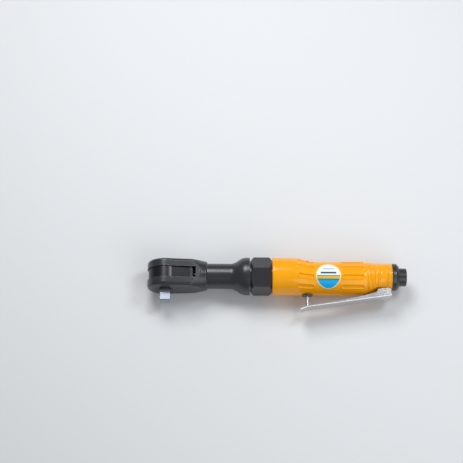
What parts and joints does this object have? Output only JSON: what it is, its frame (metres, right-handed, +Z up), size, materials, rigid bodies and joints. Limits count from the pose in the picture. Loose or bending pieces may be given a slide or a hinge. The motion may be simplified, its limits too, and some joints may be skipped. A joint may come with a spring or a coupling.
{
  "type": "air ratchet",
  "caption": "Pneumatic ratchet wrench with a forked head, square drive, hex clamp nut, round grip and throttle lever; rotor, gears, crank, yoke and pawl inside.",
  "frame": {"origin": "centre of the shoulder that the square drive stands on, on the drive axis", "axes": "+X along the tool from the head toward the air inlet; the drive and the throttle lever point to -Y; +Z up with the tool lying on its side"},
  "size_m": [0.2502, 0.053, 0.0364],
  "materials": {
    "black_steel": "black oxide, satin",
    "drive_steel": "hardened steel, satin",
    "ground_steel": "ground",
    "spring_steel": "drawn wire",
    "bronze": "turned bronze",
    "cast_plate": "ground cast iron",
    "vane_resin": "laminated resin",
    "orange_enamel": "gloss orange enamel",
    "plated_steel": "bright zinc plate",
    "seal_rubber": "moulded",
    "screen_mesh": "woven wire",
    "felt": "pressed felt",
    "label_film": "gloss film"
  },
  "bodies": {
    "housing": {"air_inlet": "black_steel", "bushing_o_ring": "seal_rubber", "clamp_nut": "black_steel", "crank_bush_front": "bronze", "crank_bush_rear": "bronze", "exhaust_silencer": "felt", "front_bearing_balls": "ground_steel", "front_bearing_outer_race": "ground_steel", "front_end_plate": "cast_plate", "inlet_screen": "screen_mesh", "lever_pin": "plated_steel", "motor_cylinder": "cast_plate", "motor_housing": "orange_enamel", "ratchet_housing": "black_steel", "rear_bearing_balls": "ground_steel", "rear_bearing_outer_race": "ground_steel", "rear_end_plate": "cast_plate", "rear_gasket": "seal_rubber", "retaining_ring": "ground_steel", "ring_gear": "ground_steel", "round_label": "label_film", "throttle_bushing": "black_steel", "throttle_plug": "black_steel", "throttle_spring": "spring_steel", "thrust_washer": "ground_steel"},
    "yoke": {"ratchet_yoke": "ground_steel"},
    "anvil": {"drive_anvil": "drive_steel", "pawl_pin": "ground_steel", "detent_spring": "spring_steel"},
    "detent": {"detent_ball": "ground_steel"},
    "reverser": {"reverse_knob": "black_steel", "selector_plunger": "ground_steel", "selector_spring": "spring_steel"},
    "pawl": {"pawl": "ground_steel"},
    "crank": {"crank_shaft": "ground_steel", "planet_pins": "ground_steel"},
    "bushing": {"drive_bushing": "ground_steel"},
    "planet_1": {"planet_gear_1": "ground_steel"},
    "planet_2": {"planet_gear_2": "ground_steel"},
    "planet_3": {"planet_gear_3": "ground_steel"},
    "rotor": {"rotor": "ground_steel", "rotor_vanes": "vane_resin", "sun_pinion": "ground_steel", "front_bearing_inner_race": "ground_steel", "rear_bearing_inner_race": "ground_steel"},
    "lever": {"throttle_lever": "plated_steel"},
    "valve": {"throttle_valve": "ground_steel", "valve_seal": "seal_rubber"},
    "deflector": {"exhaust_ring": "black_steel"}
  },
  "joints": [
    {"name": "rotor_spin", "type": "hinge", "parent": "housing", "child": "rotor", "pos_m": [0.098, 0.0145, 0], "axis": [1, 0, 0], "continuous": true},
    {"name": "crank_spin", "type": "hinge", "parent": "housing", "child": "crank", "pos_m": [0.0705, 0.0145, 0], "axis": [1, 0, 0], "continuous": true},
    {"name": "planet_1_spin", "type": "hinge", "parent": "crank", "child": "planet_1", "pos_m": [0.0765, 0.0217, 0], "axis": [1, 0, 0], "continuous": true},
    {"name": "planet_2_spin", "type": "hinge", "parent": "crank", "child": "planet_2", "pos_m": [0.0765, 0.0109, 0.00624], "axis": [1, 0, 0], "continuous": true},
    {"name": "planet_3_spin", "type": "hinge", "parent": "crank", "child": "planet_3", "pos_m": [0.0765, 0.0109, -0.00624], "axis": [1, 0, 0], "continuous": true},
    {"name": "bushing_spin", "type": "hinge", "parent": "crank", "child": "bushing", "pos_m": [0.021, 0.01633, 0], "axis": [1, 0, 0], "continuous": true},
    {"name": "yoke_rock", "type": "hinge", "parent": "housing", "child": "yoke", "pos_m": [0, 0.0145, 0], "axis": [0, 1, 0], "range_deg": [-5, 5]},
    {"name": "drive_turn", "type": "hinge", "parent": "housing", "child": "anvil", "pos_m": [0, 0.0145, 0], "axis": [0, -1, 0], "continuous": true},
    {"name": "knob_turn", "type": "hinge", "parent": "anvil", "child": "reverser", "pos_m": [0, 0.0145, 0], "axis": [0, 1, 0], "range_deg": [-35, 35]},
    {"name": "pawl_rock", "type": "hinge", "parent": "anvil", "child": "pawl", "pos_m": [0.0079, 0.0145, 0], "axis": [0, 1, 0], "range_deg": [-7, 7]},
    {"name": "detent_press", "type": "slide", "parent": "anvil", "child": "detent", "axis": [1, 0, 0], "range_m": [0, 0.0008], "stiffness_N_per_m": 1500, "springref_m": -0.0005, "deforming": ["detent_spring"]},
    {"name": "lever_squeeze", "type": "hinge", "parent": "housing", "child": "lever", "pos_m": [0.2108, -0.0017, 0], "axis": [0, 0, -1], "range_deg": [0, 4.5], "stiffness_Nm_per_rad": 1.5, "springref_deg": -3.44},
    {"name": "valve_lift", "type": "slide", "parent": "housing", "child": "valve", "axis": [0, 1, 0], "range_m": [0, 0.0062], "deforming": ["throttle_spring"]},
    {"name": "deflector_turn", "type": "hinge", "parent": "housing", "child": "deflector", "pos_m": [0.2188, 0.0145, 0], "axis": [1, 0, 0], "continuous": true}
  ],
  "couplings": [
    {"joint": "crank_spin", "follows": "rotor_spin", "ratio": 0.25},
    {"joint": "planet_1_spin", "follows": "rotor_spin", "ratio": -0.75},
    {"joint": "planet_2_spin", "follows": "rotor_spin", "ratio": -0.75},
    {"joint": "planet_3_spin", "follows": "rotor_spin", "ratio": -0.75},
    {"joint": "bushing_spin", "follows": "rotor_spin", "ratio": -0.25},
    {"joint": "pawl_rock", "follows": "knob_turn", "ratio": -0.2},
    {"joint": "valve_lift", "follows": "lever_squeeze", "m_per_rad": 0.0738}
  ]
}
